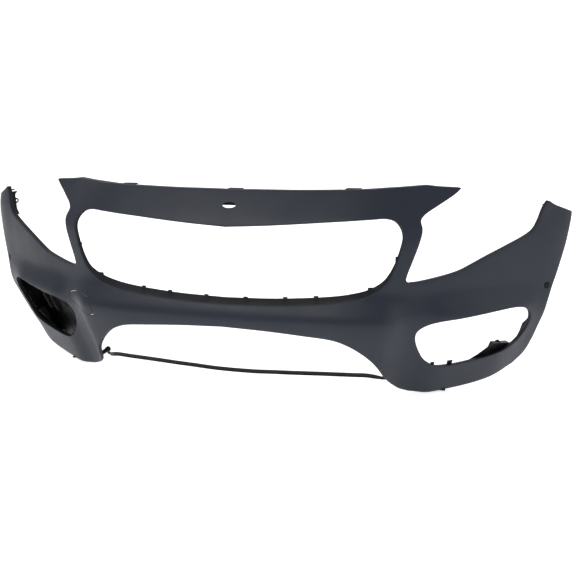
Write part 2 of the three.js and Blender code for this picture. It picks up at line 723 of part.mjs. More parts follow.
for (const [word, side] of SIDES) {
  addSolid(`fender_bracket_${word}`, fenderBracket(side), FINISH.trim);
  addSolid(`fog_outer_bracket_${word}`, fogOuterBracket(side), FINISH.trim);
  addSolid(`fog_lower_bracket_${word}`, fogLowerBracket(side), FINISH.trim);
  addSolid(`sensor_holder_${word}`, sensorHolder(side), FINISH.trim);
  addSolid(`parking_sensor_${word}`, sensor(side), FINISH.trim);
  ARCH_CLIPS.forEach((place, i) => {
    addSolid(`arch_clip_${word}_${i + 1}`, archClip(side, place), FINISH.metal);
  });
  const { crossbar_rivet: rivet, ...screws } = FASTENERS;
  addSolid(`crossbar_rivet_${word}`, rivetBody(onSide(rivet, side)), FINISH.trim);
  addSolid(`crossbar_rivet_pin_${word}`, rivetPin(onSide(rivet, side)), FINISH.trim);
  for (const [name, place] of Object.entries(screws)) {
    addSolid(`${name}_${word}`, screw(onSide(place, side)), FINISH.metal);
  }
}

// The part's origin is the middle of the centre header lug's top face
const seat = onSkin(HEADER_LUG.s, HEADER_LUG.top);
bumper.position.set(0, -(seat.y + SEAT.start + SEAT.depth / 2), -HEADER_LUG.top);

export default bumper;
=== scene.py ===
"""Looks of the front bumper cover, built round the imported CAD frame.

The skin is described on a flat pattern in millimetres: s runs round the car's front from the
centre line, z is the height and depth is measured inward from the outer surface. place()
turns that into metres in the shared frame.
"""

import json
import math

import bmesh
import bpy
import numpy as np
from mathutils import Matrix, Vector
from mathutils.geometry import delaunay_2d_cdt


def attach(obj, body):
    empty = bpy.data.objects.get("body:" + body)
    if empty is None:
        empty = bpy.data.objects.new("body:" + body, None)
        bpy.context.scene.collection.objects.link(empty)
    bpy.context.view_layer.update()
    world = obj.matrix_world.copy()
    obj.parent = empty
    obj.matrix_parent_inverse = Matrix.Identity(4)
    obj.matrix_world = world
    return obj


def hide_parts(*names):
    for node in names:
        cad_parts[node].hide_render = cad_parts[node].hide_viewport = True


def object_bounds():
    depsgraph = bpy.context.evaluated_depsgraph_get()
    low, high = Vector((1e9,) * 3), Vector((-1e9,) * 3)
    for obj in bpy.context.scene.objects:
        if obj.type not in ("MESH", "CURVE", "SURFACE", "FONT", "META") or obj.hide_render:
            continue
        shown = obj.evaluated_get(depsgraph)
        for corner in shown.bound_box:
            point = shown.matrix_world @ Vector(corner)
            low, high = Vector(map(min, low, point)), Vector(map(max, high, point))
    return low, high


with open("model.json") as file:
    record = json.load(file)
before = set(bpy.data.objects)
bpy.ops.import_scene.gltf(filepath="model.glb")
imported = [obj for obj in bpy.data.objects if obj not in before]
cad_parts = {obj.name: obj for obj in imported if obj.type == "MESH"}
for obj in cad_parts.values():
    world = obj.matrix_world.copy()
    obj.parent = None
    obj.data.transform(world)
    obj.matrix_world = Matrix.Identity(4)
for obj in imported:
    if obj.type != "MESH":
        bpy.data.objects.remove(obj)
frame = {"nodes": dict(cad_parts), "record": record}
CAD_BOX = [list(corner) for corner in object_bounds()]

# ------------------------------------------------------------------ driving dimensions, mm
MM = 0.001
SKIN = 3.0
NOSE_Y = 17.0
PLAN_TURNS = [(4.2, 0, 260), (20.9, 260, 520), (8.0, 520, 810), (34.0, 840, 1060)]
LEAD_Z = 285.0
LEAD_RISE = 95.0
HEADER_Z = 526.0
HEADER_LEAN = 0.955
SEAT = {"width": 40, "depth": 24, "thick": 3, "start": 11, "top": 618.2}
BOSS = {"radius": 6.5, "hole": 4.2, "deep": 14, "gap": 0.4}
CROSSBAR = {"near": 38, "far": 44, "high": 15, "foot": 36}
SENSOR = {"s": 888, "z": 357, "hole": 9, "face": 8.2, "body": 12}
EMBLEM = {"z": 581.3, "across": 18.5, "high": 6.8, "rest": 6, "cheek": 2.5}
CAMERA = {"azimuth": 14.473, "elevation": 15.524, "tilt": -0.565, "lens": 45.08,
          "at": (619.8, -1717.5, 877.4)}     # degrees, lens in mm, place before the shift
EDGE_ROUND = 2.4          # roll-over of the moulding's edges
HOLE_ROUND = 0.7          # roll-over of the small holes
FLANGE_WALL = 2.6
FOG_FLANGE = 14.0         # depth of the return flange round the fog openings
ROLL_STEPS = 5            # points round each rolled edge
OUTLINE_STEP = 5.0        # longest step along an outline
SHEET_STEP = 9.0          # spacing of the points inside a sheet

HEADER_TOP = [(0, 617), (40, 618.2), (190, 619), (340, 622), (480, 626), (562, 629)]
EAR_TOP = [(562, 629), (600, 624.8), (656, 621.4)]
EAR_UNDER = [(656, 621.4), (632, 606), (602, 592), (566, 577), (532, 561), (519, 549),
             (519, 530), (510, 500), (494, 456), (478, 413), (476, 401), (484, 394)]
HEADLAMP_SILL = [(484, 394), (513, 396), (566, 405), (620, 418), (664, 437), (700, 453),
                 (760, 477), (812, 499), (834, 513), (851, 538), (866, 565), (884, 585)]
FENDER_SEAM = [(884, 585), (906, 573), (934, 563), (975, 550)]
WHEEL_ARCH = [(975, 550), (960, 512), (949, 470), (935, 427), (921, 385), (905, 341),
              (893, 300), (887, 250), (884, 190), (874, 148), (846, 116)]
UNDERSIDE = [(846, 116), (788, 92), (740, 78), (680, 68), (611, 64), (560, 62), (518, 66)]
LEG = [(518, 66), (488, 78), (452, 106), (430, 130), (406, 165), (386, 189), (362, 211),
       (336, 230), (306, 245), (280, 252), (218, 259), (120, 268), (0, 273)]
CORNERS = [((656, 621.4), 2.8), ((484, 394), 4), ((884, 585), 5), ((975, 550), 5),
           ((846, 116), 8), ((518, 66), 8)]
GRILLE_HALF = [(0, 531), (110, 537), (200, 543), (300, 550), (383, 555), (430, 556),
               (452, 549), (464, 532), (467, 511), (462, 488), (447, 442), (430, 405),
               (411, 383), (380, 364), (335, 352), (280, 344), (150, 335), (0, 331)]
FOG = [(508, 256), (516, 268), (538, 282), (566, 291), (616, 296), (672, 302), (729, 308),
       (777, 311), (810, 306), (833, 293), (844, 272), (844, 246), (830, 211), (800, 185),
       (735, 164), (664, 152), (614, 149), (572, 153), (541, 174), (520, 208), (509, 236)]
TOW = [(-506, 295), (-501, 312), (-478, 320), (-412, 322), (-391, 316), (-383, 296),
       (-378, 277), (-389, 270), (-425, 275), (-470, 282)]
CROSSBAR_TOP = [(0, 122), (60, 123), (115, 126), (175, 128), (232, 130), (290, 131.5),
                (340, 132), (384, 131), (412, 125), (440, 113), (466, 106), (492, 104)]

# Places on one half: bosses as (s, z, depth), tabs as (s, z, width) or (s, width),
# lugs as (s, top, start)
BOSSES = [(905, 545, 10), (858, 500, 10), (862, 228, 15), (800, 156, 15), (712, 144, 15),
          (486, 98, 36)]
RIVET_PLACE = (486, 98)
GRILLE_TABS = [(55, 331.5, 12), (162, 335.5, 12), (243, 341, 12), (385, 366, 14)]
FOG_TABS = [(570, 10), (622, 16)]
SIDE_LUGS = [(330, 622.6, 11), (600, 65.4, 7)]


# ------------------------------------------------------------------ the skin's surface
def smooth_step(value):
    """Eases from 0 to 1 as value goes from 0 to 1."""
    t = np.clip(value, 0.0, 1.0)
    return t * t * t * (t * (6 * t - 15) + 10)


def soft_ramp(value, width):
    """Zero below 0 and value above it, with a smooth bend about as long as width."""
    return width * np.logaddexp(0, 2 * value / width) / 2


def plan_table():
    """The nose's plan curve: place and heading at every 2 mm round the car."""
    s = np.arange(0, 1302, 2.0)
    turn = sum(math.radians(angle) * smooth_step((s - a) / (b - a)) for angle, a, b in PLAN_TURNS)
    middle = (turn[1:] + turn[:-1]) / 2
    x = np.concatenate([[0], np.cumsum(2 * np.cos(middle))])
    y = NOSE_Y + np.concatenate([[0], np.cumsum(2 * np.sin(middle))])
    return s, x, y, turn


PLAN = plan_table()


def ear_facet(a, z):
    """The ear turns a little outward past a crease that runs up from the headlamp."""
    return 0.14 * soft_ramp(a - 574 - 0.5 * (z - 577), 5) * smooth_step((z - 552) / 24)


def surface_inset(s, z):
    """Distance that the outer surface stands in from the plan curve."""
    a = np.abs(s)
    lean_share = 1 - 0.75 * smooth_step((a - 540) / 290)
    header = HEADER_LEAN * soft_ramp(z - HEADER_Z, 26) * lean_share
    swell = 42 - 30 * smooth_step((a - 390) / 110) + 15 * smooth_step((a - 500) / 90)
    swell = swell - 24 * smooth_step((a - 740) / 160)
    above = 1 - smooth_step((z - LEAD_Z) / LEAD_RISE)
    undercut = 0.36 + 0.06 * smooth_step((a - 520) / 200)
    base = header + undercut * soft_ramp(LEAD_Z - z, 22) - swell * above
    return base + ear_facet(a, z) * (a < 700)


def on_skin(s, z, depth):
    s, z, depth = np.broadcast_arrays(*(np.asarray(v, float) for v in (s, z, depth)))
    table, x, y, turn = PLAN
    a, side = np.abs(s), np.where(s < 0, -1.0, 1.0)
    heading = side * np.interp(a, table, turn)
    inward = surface_inset(s, z) + depth
    return np.stack([side * np.interp(a, table, x) - np.sin(heading) * inward,
                     np.interp(a, table, y) + np.cos(heading) * inward, z], axis=-1)


def frame_shift():
    """The header seat's place in the frame less its place on the flat pattern, in mm."""
    seat = next(m for m in frame["record"]["mounts"] if m["name"] == "header_seat")
    middle = on_skin(0, SEAT["top"], 0) + np.array([0, SEAT["start"] + SEAT["depth"] / 2, 0])
    return np.array(seat["pos_m"]) / MM - middle


SHIFT = frame_shift()


def place(s, z, depth):
    return (on_skin(s, z, depth) + SHIFT) * MM


def skin_axes(s, z):
    """Origin, round, up and square-inward directions of the skin at a place (frame, mm)."""
    centre = on_skin(s, z, 0)
    across = on_skin(s + 1, z, 0) - on_skin(s - 1, z, 0)
    up = on_skin(s, z + 1, 0) - on_skin(s, z - 1, 0)
    across, up = across / np.linalg.norm(across), up / np.linalg.norm(up)
    inward = np.cross(up, across)
    inward /= np.linalg.norm(inward)
    share = float(np.dot(on_skin(s, z, 1) - centre, inward))
    return centre + SHIFT, across, np.cross(across, inward), inward, share


# ------------------------------------------------------------------ outlines
def smooth_curve(points, closed=False, step=OUTLINE_STEP):
    """Centripetal Catmull-Rom curve through the points."""
    p = [np.array(point, float) for point in points]
    count = len(p)
    spans = count if closed else count - 1
    line = []
    for i in range(spans):
        b, c = p[i], p[(i + 1) % count]
        a = p[i - 1] if (closed or i > 0) else 2 * b - c
        d = p[(i + 2) % count] if (closed or i + 2 < count) else 2 * c - b
        k0, k1, k2 = (np.linalg.norm(v) ** 0.5 for v in (b - a, c - b, d - c))
        m1 = ((b - a) / k0 - (c - a) / (k0 + k1) + (c - b) / k1) * k1
        m2 = ((c - b) / k1 - (d - b) / (k1 + k2) + (d - c) / k2) * k1
        pieces = max(1, math.ceil(np.linalg.norm(c - b) / step))
        for k in range(pieces):
            t = k / pieces
            line.append(b + m1 * t + (-3 * b + 3 * c - 2 * m1 - m2) * t * t
                        + (2 * b - 2 * c + m1 + m2) * t ** 3)
    if not closed:
        line.append(p[-1])
    return line


def join_lines(lines, closed=True):
    joined = []
    for line in lines:
        for point in line:
            if not joined or np.linalg.norm(joined[-1] - point) > 0.3:
                joined.append(point)
    if closed and np.linalg.norm(joined[0] - joined[-1]) < 0.3:
        joined.pop()
    return joined


def walk(line, index, step, distance):
    """The point a distance along the line from a corner, and the first index past it."""
    here, i = line[index], index
    while 0 <= i + step < len(line):
        ahead = line[i + step]
        length = np.linalg.norm(ahead - here)
        if length > distance:
            return here + (ahead - here) * distance / length, i + step
        distance, here, i = distance - length, ahead, i + step
    return here, i


def rounded(line, corners):
    """Replace each named corner of an open line with a smooth arc."""
    for corner, radius in corners:
        index = int(np.argmin([np.linalg.norm(p - np.array(corner)) for p in line]))
        into, out = line[index] - line[index - 1], line[index + 1] - line[index]
        cosine = np.dot(into, out) / np.linalg.norm(into) / np.linalg.norm(out)
        reach = radius * math.tan(math.acos(np.clip(cosine, -1, 1)) / 2)
        start, before = walk(line, index, -1, reach)
        end, after = walk(line, index, 1, reach)
        middle = line[index]
        arc = [start * (1 - t) ** 2 + 2 * middle * t * (1 - t) + end * t * t
               for t in np.linspace(0, 1, 8)]
        line = line[:before + 1] + arc + line[after:]
    return line


def mirrored(line):
    return [np.array([-p[0], p[1]]) for p in reversed(line)]


def outer_outline():
    parts = [HEADER_TOP, EAR_TOP, EAR_UNDER, HEADLAMP_SILL, FENDER_SEAM, WHEEL_ARCH,
             UNDERSIDE, LEG]
    half = join_lines([smooth_curve(part) for part in parts], closed=False)
    half = rounded(half, CORNERS)
    return join_lines([half, mirrored(half)])


def grille_outline():
    half = smooth_curve(GRILLE_HALF)
    return join_lines([half, mirrored(half)])


def oval(s, z, across, high, sides):
    return [np.array([s + across * math.cos(t), z + high * math.sin(t)])
            for t in np.linspace(0, 2 * math.pi, sides, endpoint=False)]


def area(outline):
    p = np.array(outline)
    q = np.roll(p, -1, axis=0)
    return float(np.sum(p[:, 0] * q[:, 1] - q[:, 0] * p[:, 1]) / 2)


def outward(outline):
    """Unit normals pointing away from the enclosed area, lengthened at corners."""
    p = np.array(outline)
    into = p - np.roll(p, 1, axis=0)
    out = np.roll(p, -1, axis=0) - p
    into /= np.linalg.norm(into, axis=1)[:, None]
    out /= np.linalg.norm(out, axis=1)[:, None]
    normal = np.stack([-into[:, 1] - out[:, 1], into[:, 0] + out[:, 0]], axis=1)
    normal /= np.linalg.norm(normal, axis=1)[:, None]
    spread = np.maximum(0.6, -normal[:, 0] * into[:, 1] + normal[:, 1] * into[:, 0])
    return normal * (-1 if area(outline) > 0 else 1) / spread[:, None]


def offset(outline, distance):
    return list(np.array(outline) + outward(outline) * distance)


def inside(points, outline):
    x, y = points[:, 0], points[:, 1]
    hit = np.zeros(len(points), bool)
    previous = outline[-1]
    for here in outline:
        crosses = (here[1] > y) != (previous[1] > y)
        rise = previous[1] - here[1]
        reach = (previous[0] - here[0]) * (y - here[1]) / (rise if rise else 1) + here[0]
        hit ^= crosses & (x < reach)
        previous = here
    return hit


# ------------------------------------------------------------------ mesh building
class Build:
    """Collects vertices in metres and faces, then makes one object of them.

    coat says which of the object's finishes a face takes: 0 is the first.
    """

    def __init__(self):
        self.points, self.faces, self.coats = [], [], []

    def add(self, points, faces, coat=0):
        base = len(self.points)
        self.points.extend(map(tuple, points))
        self.faces.extend(tuple(i + base for i in face) for face in faces)
        self.coats.extend([coat] * len(faces))

    def grid(self, rows, coat=0, wrap_columns=True):
        """Quads over equal rows of points."""
        width = len(rows[0])
        faces = []
        for i in range(len(rows) - 1):
            for j in range(width if wrap_columns else width - 1):
                a, b = i * width, (i + 1) * width
                k = (j + 1) % width
                faces.append((a + j, a + k, b + k, b + j))
        self.add([p for row in rows for p in row], faces, coat)

    def to_object(self, name, finishes, body, sharp=38):
        mesh = bpy.data.meshes.new(name)
        mesh.from_pydata(self.points, [], self.faces)
        mesh.polygons.foreach_set("material_index", self.coats)
        work = bmesh.new()
        work.from_mesh(mesh)
        bmesh.ops.remove_doubles(work, verts=work.verts, dist=1e-5)
        bmesh.ops.dissolve_degenerate(work, edges=work.edges, dist=1e-6)
        bmesh.ops.recalc_face_normals(work, faces=work.faces)
        for face in work.faces:
            face.smooth = True
        for edge in work.edges:
            edge.smooth = edge.calc_face_angle(0) < math.radians(sharp)
        work.to_mesh(mesh)
        work.free()
        obj = bpy.data.objects.new(name, mesh)
        bpy.context.scene.collection.objects.link(obj)
        for finish in finishes:
            obj.data.materials.append(FINISH[finish])
        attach(obj, body)
        return obj


def lattice(outline, holes, spacing, clear):
    p = np.array(outline)
    rows = np.arange(p[:, 1].min(), p[:, 1].max(), spacing * 0.866)
    columns = np.arange(p[:, 0].min(), p[:, 0].max(), spacing)
    s = np.concatenate([columns + (i % 2) * spacing / 2 for i in range(len(rows))])
    points = np.stack([s, np.repeat(rows, len(columns))], axis=1)
    keep = inside(points, outline)
    for hole in holes:
        keep &= ~inside(points, hole)
    points = points[keep]
    rings = np.array([q for ring in [outline, *holes] for q in ring])
    near = [np.min(np.hypot(*(rings - point).T)) > clear for point in points]
    return points[np.array(near, bool)]


def triangulate(outline, holes, spacing):
    rings = [outline, *holes]
    points = [Vector(q) for ring in rings for q in ring]
    edges, base = [], 0
    for ring in rings:
        edges += [(base + i, base + (i + 1) % len(ring)) for i in range(len(ring))]
        base += len(ring)
    points += [Vector(q) for q in lattice(outline, holes, spacing, spacing * 0.55)]
    verts, _, faces, *_ = delaunay_2d_cdt(points, edges, [], 0, 1e-4)
    flat = np.array([tuple(v) for v in verts])
    centres = np.array([flat[list(face)].mean(axis=0) for face in faces])
    keep = inside(centres, outline)
    for hole in holes:
        keep &= ~inside(centres, hole)
    return flat, [tuple(face) for face, kept in zip(faces, keep) if kept]


def shell(build, loops, front, back, spacing=SHEET_STEP):
    """A curved plate: front and back sheets joined by a strip round every loop.

    Each loop is (outline, side, profile): side is -1 for the plate's own edge and 1 for a
    hole, and profile(point) gives (offset into the plate, depth) from the front sheet's rim
    to the back sheet's rim, with equal offsets at both ends.
    """
    rims = []
    for outline, side, profile in loops:
        normals = outward(outline)
        sections = [profile(point) for point in outline]
        steps = range(len(sections[0]))
        shifts = [np.array([section[k][0] for section in sections])[:, None] * side
                  for k in steps]
        rows = [np.array(outline) + normals * shift for shift in shifts]
        depths = [[section[k][1] for section in sections] for k in steps]
        placed = [place(r[:, 0], r[:, 1], d) for r, d in zip(rows, depths)]
        build.grid(placed[:ROLL_STEPS])
        # Past the roll, the edge walls and return flanges take the second coat: bare unprimed
        # moulding, and there also painted shade that darkens them
        build.grid(placed[ROLL_STEPS - 1:], 1)
        rims.append(list(rows[0]))
    flat, faces = triangulate(rims[0], rims[1:], spacing)
    for coat, depth in enumerate((front, back)):
        build.add(place(flat[:, 0], flat[:, 1], depth), faces, coat)


def roll(radius):
    """Quarter round from the front sheet over the edge, as (offset, depth)."""
    angles = np.linspace(0, math.pi / 2, ROLL_STEPS)
    return [(radius * (1 - math.sin(t)), radius * (1 - math.cos(t))) for t in angles]


def plain_edge(radius, thick, front=0.0):
    rim = [(a, front + d) for a, d in roll(radius)]
    back = [(0, front + thick - radius * 0.5), (radius * 0.5, front + thick),
            (radius, front + thick)]
    return lambda point: rim + back


def flanged_edge(far, rise):
    def profile(point):
        lean, end = rise(point), far(point)
        return roll(EDGE_ROUND) + [
            (-lean * 0.5, (EDGE_ROUND + end) / 2), (0.3 - lean, end - 0.5), (0.8 - lean, end),
            (FLANGE_WALL - lean - 0.5, end), (FLANGE_WALL - lean, end - 0.5),
            (FLANGE_WALL, SKIN + 1.2), (FLANGE_WALL + 0.1, SKIN + 0.3), (EDGE_ROUND, SKIN)]
    return profile


def bent_block(build, s0, s1, z0, z1, d0, d1, chamfer=0.5, coat=1):
    """A small rounded block on the flat pattern, bent with the skin."""
    work = bmesh.new()
    bmesh.ops.create_cube(work, size=1)
    sizes = np.array([s1 - s0, z1 - z0, d1 - d0])
    for vert in work.verts:
        vert.co = Vector(np.array(vert.co) * sizes)
    width = min(chamfer, sizes.min() * 0.3)
    bmesh.ops.bevel(work, geom=list(work.edges), offset=width, segments=2, profile=0.5,
                    affect="EDGES")
    work.verts.ensure_lookup_table()
    middle = np.array([s0 + s1, z0 + z1, d0 + d1]) / 2
    flat = np.array([tuple(v.co) for v in work.verts]) + middle
    faces = [tuple(v.index for v in face.verts) for face in work.faces]
    work.free()
    build.add(place(flat[:, 0], flat[:, 1], flat[:, 2]), faces, coat)


def straight_block(build, middle, sizes, chamfer=0.6, coat=1):
    """A rounded block square to the frame, in mm."""
    work = bmesh.new()
    bmesh.ops.create_cube(work, size=1)
    for vert in work.verts:
        vert.co = Vector(np.array(vert.co) * np.array(sizes))
    bmesh.ops.bevel(work, geom=list(work.edges), offset=chamfer, segments=2, profile=0.5,
                    affect="EDGES")
    points = np.array([tuple(v.co) for v in work.verts]) + np.array(middle) + SHIFT
    faces = [tuple(v.index for v in face.verts) for face in work.faces]
    work.free()
    build.add(points * MM, faces, coat)


def turned(build, s, z, profile, sides=32, coat=0):
    """A turned form square to the skin at (s, z); profile is (radius, distance inward)."""
    centre, across, up, inward, _ = skin_axes(s, z)
    rows = []
    for radius, distance in profile:
        rows.append([(centre + inward * distance
                      + radius * (across * math.cos(t) + up * math.sin(t))) * MM
                     for t in np.linspace(0, 2 * math.pi, sides, endpoint=False)])
    build.grid(rows, coat)


def sides_of(points):
    """Both mirrored places of each (s, ...) entry."""
    return [(side * entry[0], *entry[1:]) for entry in points for side in (1, -1)]


# ------------------------------------------------------------------ materials
def node_material(name):
    mat = bpy.data.materials.new(name)
    mat.use_nodes = True
    tree = mat.node_tree
    tree.nodes.clear()
    out = tree.nodes.new("ShaderNodeOutputMaterial")
    shader = tree.nodes.new("ShaderNodeBsdfPrincipled")
    tree.links.new(shader.outputs[0], out.inputs[0])
    coords = tree.nodes.new("ShaderNodeTexCoord")
    return mat, tree, shader, coords.outputs["Object"]


def noise(tree, coords, scale, detail, stretch=None):
    source = coords
    if stretch:
        mapping = tree.nodes.new("ShaderNodeMapping")
        mapping.inputs["Scale"].default_value = stretch
        tree.links.new(coords, mapping.inputs[0])
        source = mapping.outputs[0]
    node = tree.nodes.new("ShaderNodeTexNoise")
    node.inputs["Scale"].default_value = scale
    node.inputs["Detail"].default_value = detail
    tree.links.new(source, node.inputs["Vector"])
    return node.outputs["Fac"]


def spread(tree, value, low, high, to_low, to_high):
    """Stretch low..high to to_low..to_high."""
    node = tree.nodes.new("ShaderNodeMapRange")
    for key, number in zip(("From Min", "From Max", "To Min", "To Max"),
                           (low, high, to_low, to_high)):
        node.inputs[key].default_value = number
    tree.links.new(value, node.inputs["Value"])
    return node.outputs[0]


def tint(tree, value, dark, light):
    node = tree.nodes.new("ShaderNodeMix")
    node.data_type = "RGBA"
    node.inputs[6].default_value = (*dark, 1)
    node.inputs[7].default_value = (*light, 1)
    tree.links.new(value, node.inputs[0])
    return node.outputs[2]


def bumps(tree, height, strength, distance, normal=None):
    node = tree.nodes.new("ShaderNodeBump")
    node.inputs["Strength"].default_value = strength
    node.inputs["Distance"].default_value = distance
    tree.links.new(height, node.inputs["Height"])
    if normal:
        tree.links.new(normal, node.inputs["Normal"])
    return node.outputs[0]


def primer():
    """Sprayed primer: soft cloudiness, a fine dry-spray grain over orange peel."""
    mat, tree, shader, coords = node_material("primer_coat")
    cloud = spread(tree, noise(tree, coords, 5, 2), 0.3, 0.7, 0, 1)
    speck = spread(tree, noise(tree, coords, 900, 2), 0.35, 0.65, 0, 1)
    base = tint(tree, cloud, (0.0095, 0.0138, 0.0250), (0.0132, 0.0174, 0.0292))
    fine = tint(tree, speck, (0.82, 0.82, 0.82), (1.15, 1.15, 1.15))
    blend = tree.nodes.new("ShaderNodeMix")
    blend.data_type = "RGBA"
    blend.blend_type = "MULTIPLY"
    blend.inputs[0].default_value = 1
    tree.links.new(base, blend.inputs[6])
    tree.links.new(fine, blend.inputs[7])
    tree.links.new(blend.outputs[2], shader.inputs["Base Color"])
    rough = spread(tree, noise(tree, coords, 14, 3), 0.3, 0.7, 0.43, 0.5)
    tree.links.new(rough, shader.inputs["Roughness"])
    peel = bumps(tree, noise(tree, coords, 260, 2), 0.10, 0.0006)
    grain = bumps(tree, noise(tree, coords, 1400, 2), 0.08, 0.0002, peel)
    tree.links.new(grain, shader.inputs["Normal"])
    shader.inputs["Specular IOR Level"].default_value = 0.36
    return mat


def moulded(name, dark, light, rough, grain_scale, grain, shine):
    """Moulded plastic with a leather-like grain and faint flow marks."""
    mat, tree, shader, coords = node_material(name)
    flow = noise(tree, coords, 9, 3, stretch=(1, 1, 3))
    tone = tint(tree, spread(tree, flow, 0.3, 0.7, 0, 1), dark, light)
    tree.links.new(tone, shader.inputs["Base Color"])
    worn = spread(tree, noise(tree, coords, 30, 3), 0.3, 0.7, rough - 0.05, rough + 0.07)
    tree.links.new(worn, shader.inputs["Roughness"])
    cells = tree.nodes.new("ShaderNodeTexVoronoi")
    cells.inputs["Scale"].default_value = grain_scale
    tree.links.new(coords, cells.inputs["Vector"])
    tree.links.new(bumps(tree, cells.outputs["Distance"], grain, 0.0003),
                   shader.inputs["Normal"])
    shader.inputs["Specular IOR Level"].default_value = shine
    return mat


def zinc():
    """Zinc-plated steel with a faint yellow passivation and drawn scratches."""
    mat, tree, shader, coords = node_material("zinc_plate")
    tone = tint(tree, noise(tree, coords, 120, 3), (0.34, 0.33, 0.30), (0.52, 0.50, 0.43))
    tree.links.new(tone, shader.inputs["Base Color"])
    shader.inputs["Metallic"].default_value = 1
    rough = spread(tree, noise(tree, coords, 300, 2), 0.3, 0.7, 0.28, 0.42)
    tree.links.new(rough, shader.inputs["Roughness"])
    lines = noise(tree, coords, 900, 2, stretch=(1, 8, 1))
    tree.links.new(bumps(tree, lines, 0.15, 0.0002), shader.inputs["Normal"])
    return mat


def studio_white():
    mat, tree, shader, coords = node_material("studio_white")
    tone = tint(tree, noise(tree, coords, 2, 2), (0.90, 0.90, 0.90), (0.93, 0.93, 0.93))
    tree.links.new(tone, shader.inputs["Base Color"])
    shader.inputs["Roughness"].default_value = 0.9
    shader.inputs["Emission Color"].default_value = (1, 1, 1, 1)
    shader.inputs["Emission Strength"].default_value = 0.62
    return mat


FINISH = {
    "primer": primer(),
    "black_plastic": moulded("black_moulding", (0.003, 0.003, 0.004), (0.007, 0.007, 0.008),
                             0.5, 1500, 0.25, 0.2),
    "sensor_plastic": moulded("sensor_moulding", (0.003, 0.003, 0.004), (0.006, 0.006, 0.007),
                              0.42, 2600, 0.08, 0.15),
    # bare_back: the unprimed back of the moulding; where it covers the return flanges and edge
    # walls, its darker tone is also painted shade
    "bare_back": moulded("bare_back_and_flange_shade_moulding", (0.004, 0.005, 0.007), (0.008, 0.010, 0.013),
                         0.62, 1200, 0.15, 0.25),
    "zinc_steel": zinc(),
}


# ------------------------------------------------------------------ pieces
def outer_depth(point):
    a, z = abs(point[0]), point[1]
    low = 9 + 4 * float(smooth_step((z - 105) / 50))
    leg = 13 + 4 * float(smooth_step((z - 145) / 50))
    middle = leg + (low - leg) * float(smooth_step((a - 440) / 60))
    return middle + 2 * float(smooth_step((z - 590) / 20))


def grille_rise(point):
    return 10 * (1 - float(smooth_step((point[1] - 340) / 130))) + 2


def grille_depth(point):
    return 21 - 12 * float(smooth_step((point[1] - 345) / 60))


def skin_loops():
    fog = smooth_curve(FOG, closed=True)
    flat = lambda point: 0.0
    fog_depth = lambda point: FOG_FLANGE
    loops = [
        (outer_outline(), -1, flanged_edge(outer_depth, flat)),
        (grille_outline(), 1, flanged_edge(grille_depth, grille_rise)),
        (fog, 1, flanged_edge(fog_depth, flat)),
        (mirrored(fog), 1, flanged_edge(fog_depth, flat)),
        (smooth_curve(TOW, closed=True), 1, plain_edge(HOLE_ROUND, SKIN)),
        (oval(0, EMBLEM["z"], EMBLEM["across"], EMBLEM["high"], 40), 1,
         plain_edge(HOLE_ROUND, SKIN)),
    ]
    for side in (1, -1):
        hole = oval(side * SENSOR["s"], SENSOR["z"], SENSOR["hole"], SENSOR["hole"], 32)
        loops.append((hole, 1, plain_edge(HOLE_ROUND, SKIN)))
    return loops


def add_tabs(build):
    for s, z, width in sides_of(GRILLE_TABS):
        bent_block(build, s - width / 2, s + width / 2, z + 6, z + 16, 15.4, 17.9, 1.2)
    for s, width in sides_of(FOG_TABS):
        bent_block(build, s - width / 2, s + width / 2, 146, 161, 11, 13.4)
    for side in (1, -1):
        s0, s1 = sorted((side * 447, side * 462))
        bent_block(build, s0, s1, 450, 464, 5.6, 8.1, 1.0)


def add_lugs(build):
    for s, top, start in [(0, SEAT["top"], SEAT["start"]), *sides_of(SIDE_LUGS)]:
        edge = on_skin(s, top, 0)
        middle = edge + np.array([0, start + SEAT["depth"] / 2, -SEAT["thick"] / 2])
        straight_block(build, middle, (SEAT["width"], SEAT["depth"], SEAT["thick"]))


def add_emblem_rest(build):
    low, high = EMBLEM["z"] - 1, EMBLEM["z"] + 15
    half, wall = 23, EMBLEM["cheek"]
    far = EMBLEM["rest"] + wall
    bent_block(build, -half, half, low, high, EMBLEM["rest"], far)
    for s in (-half, half - wall):
        bent_block(build, s, s + wall, low, high, 1.5, far)


def add_bosses(build):
    for s, z, foot in sides_of(BOSSES):
        top = foot * skin_axes(s, z)[4] - BOSS["gap"]
        deep = max(5, top - BOSS["deep"])
        radius, hole = BOSS["radius"], BOSS["hole"]
        turned(build, s, z, [
            (0, 1.6), (radius + 1, 1.6), (radius + 1, 3.2), (radius + 0.2, 4), (radius, 5.2),
            (radius, top - 0.6), (radius - 0.6, top), (hole + 0.5, top), (hole, top - 0.5),
            (hole, deep), (0, deep)], coat=1)


def bumper_skin():
    build = Build()
    shell(build, skin_loops(), 0, SKIN)
    add_tabs(build)
    add_lugs(build)
    add_emblem_rest(build)
    add_bosses(build)
    obj = build.to_object("bumper_skin_moulding", ("primer", "bare_back"), "bumper")
    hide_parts("bumper_skin")


def tow_eye_cover():
    build = Build()
    rim = offset(smooth_curve(TOW, closed=True), -0.8)
    shell(build, [(rim, -1, plain_edge(0.9, 2.4, 0.1))], 0.1, 2.5, 6)
    bent_block(build, -396, -393, 286, 304, 2.2, 9)
    bent_block(build, -480, -400, 294, 296.5, 2.2, 5.5)
    obj = build.to_object("tow_eye_cover_panel", ("primer", "bare_back"), "tow_eye_cover")
    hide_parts("tow_eye_cover")


def rounded_section(near, far, high, radius=1.7, steps=4):
    """Section of the crossbar as (drop below its top line, depth)."""
    corners = [(radius, near + radius, math.pi), (radius, far - radius, math.pi / 2),
               (high - radius, far - radius, 0), (high - radius, near + radius, -math.pi / 2)]
    section = []
    for drop, depth, start in corners:
        for t in np.linspace(start, start - math.pi / 2, steps):
            section.append((drop + radius * math.cos(t), depth + radius * math.sin(t)))
    return section


